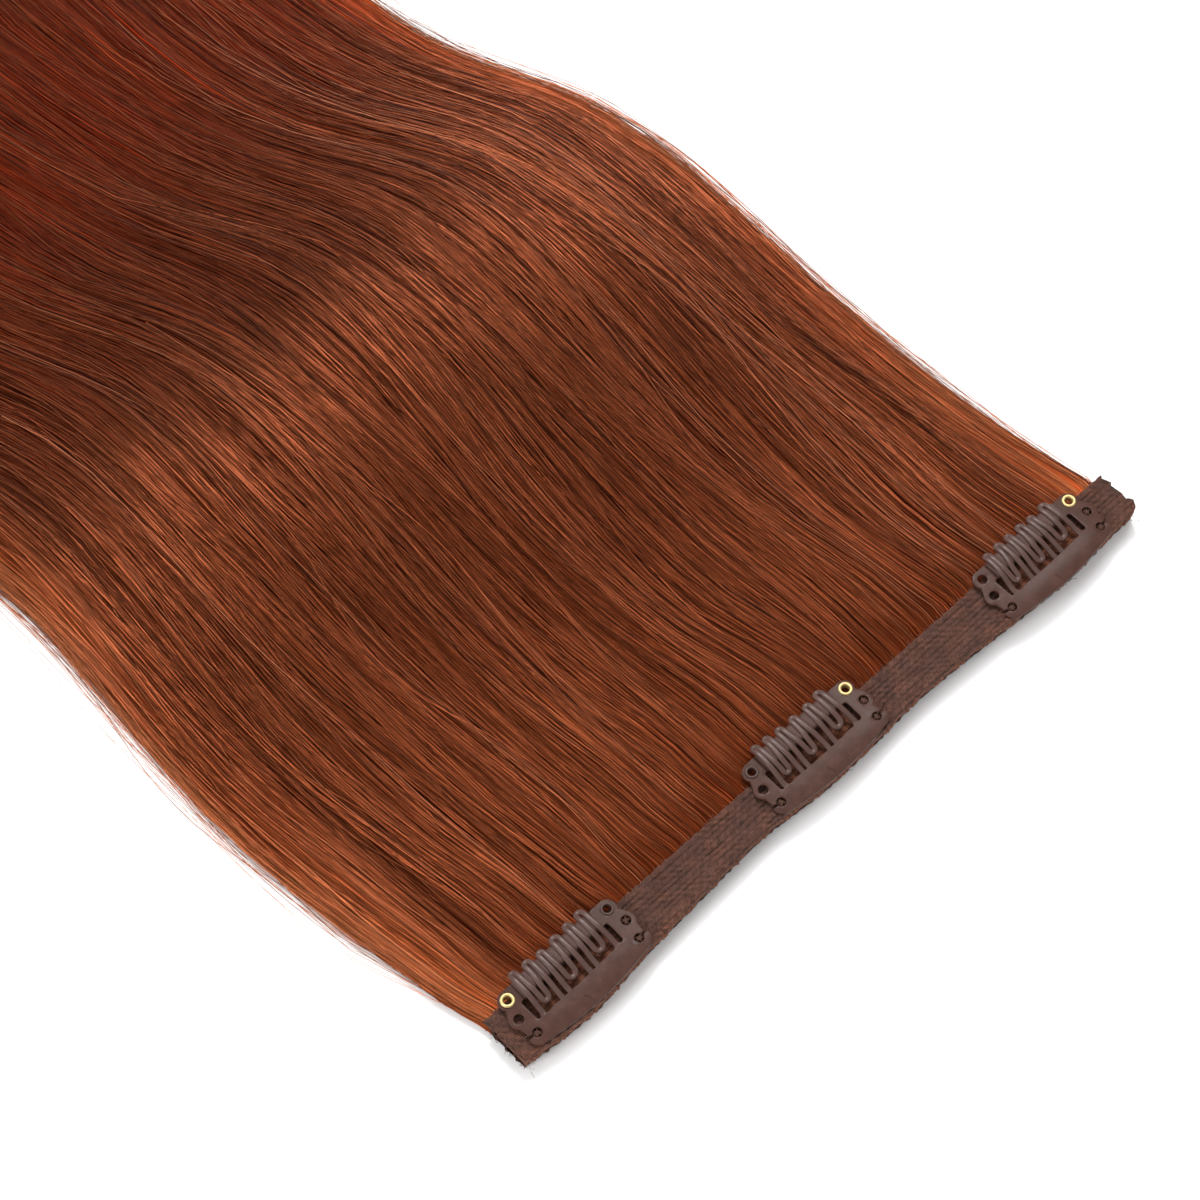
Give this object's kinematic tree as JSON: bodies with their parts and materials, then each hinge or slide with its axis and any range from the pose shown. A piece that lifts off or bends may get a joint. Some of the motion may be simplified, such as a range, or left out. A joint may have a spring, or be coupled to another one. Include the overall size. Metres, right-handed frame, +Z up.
{
  "type": "clip-in hair extension weft",
  "caption": "Wide flat weft of gently wavy auburn-brown hair on a brown lace band with sewn-on snap comb clips.",
  "frame": {"origin": "underside of the band, half way between the outer clips, on the line of their eyelets", "axes": "+X along the band, +Y from the band towards the hair's free end, +Z up from the surface it lies on, towards the clips"},
  "size_m": [0.2009, 0.3673, 0.0133],
  "materials": {
    "hair": "straight glossy auburn-brown hair strands",
    "hair_roots": "sewn hair roots, matt",
    "lace": "ribbed brown lace ribbon, matt",
    "clip_enamel": "brown enamel on stamped steel, satin",
    "grip_rubber": "ribbed soft brown sleeve, slightly translucent",
    "brass": "pale polished brass",
    "dark_eyelet": "dark brown painted eyelet"
  },
  "bodies": {
    "weft": {"hair_panel": "hair", "lace_lower": "lace", "weft_roots": "hair_roots", "lace_upper": "lace", "clip_1_frame": "clip_enamel", "clip_1_sleeve": "grip_rubber", "clip_1_brass_eyelet": "brass", "clip_1_brown_eyelet": "dark_eyelet", "clip_2_frame": "clip_enamel", "clip_2_sleeve": "grip_rubber", "clip_2_brass_eyelet": "brass", "clip_2_brown_eyelet": "dark_eyelet", "clip_3_frame": "clip_enamel", "clip_3_sleeve": "grip_rubber", "clip_3_brass_eyelet": "brass"},
    "comb_1": {"clip_1_comb": "clip_enamel"},
    "comb_2": {"clip_2_comb": "clip_enamel"},
    "comb_3": {"clip_3_comb": "clip_enamel"}
  },
  "joints": [
    {"name": "comb_1_snap", "type": "hinge", "parent": "weft", "child": "comb_1", "pos_m": [-0.06588, -0.00746, 0.00665], "axis": [0.9998, 0.019, 0], "range_deg": [0, 30]},
    {"name": "comb_2_snap", "type": "hinge", "parent": "weft", "child": "comb_2", "pos_m": [0.00058, -0.00582, 0.00665], "axis": [1, 0.0038, 0], "range_deg": [0, 30]},
    {"name": "comb_3_snap", "type": "hinge", "parent": "weft", "child": "comb_3", "pos_m": [0.06491, -0.00746, 0.00665], "axis": [0.9999, 0.0115, 0], "range_deg": [0, 30]}
  ]
}
